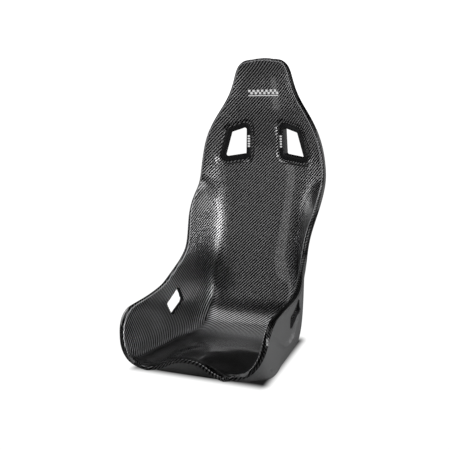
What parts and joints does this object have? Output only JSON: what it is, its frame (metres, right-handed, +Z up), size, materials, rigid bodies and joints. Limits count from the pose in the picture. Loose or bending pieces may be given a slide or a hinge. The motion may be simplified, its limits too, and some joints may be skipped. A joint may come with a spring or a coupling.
{
  "type": "racing seat",
  "caption": "Fixed-back bucket seat with a one-piece composite tub, rolled rim, shoulder and lap harness slots, and a closed outer skin with side fixings.",
  "frame": {"origin": "on the floor under the middle of the bounding box", "axes": "X across the seat to the sitter's left, Y backwards, Z up; the sitter faces -Y"},
  "size_m": [0.4676, 0.6461, 0.9266],
  "materials": {
    "carbon_gloss": "clear-coated carbon twill",
    "shell_grey": "satin gel coat on composite",
    "moulded_black": "fine moulded grain",
    "screw_black": "black oxide",
    "decal_white": "printed film",
    "insert_steel": "zinc plated",
    "plate_aluminium": "plain"
  },
  "bodies": {
    "root": {"inner_shell": "carbon_gloss", "outer_shell": "shell_grey", "shoulder_bezel_left": "moulded_black", "shoulder_bezel_right": "moulded_black", "rear_bezel_left": "moulded_black", "rear_bezel_right": "moulded_black", "bezel_screws": "screw_black", "bezel_mark_left": "decal_white", "bezel_mark_right": "decal_white", "lap_liner_left": "carbon_gloss", "lap_liner_right": "carbon_gloss", "insert_front_left": "insert_steel", "insert_front_right": "insert_steel", "insert_rear_left": "insert_steel", "insert_rear_right": "insert_steel", "mount_plate_left": "plate_aluminium", "mount_plate_right": "plate_aluminium", "head_badge": "decal_white"}
  },
  "joints": []
}
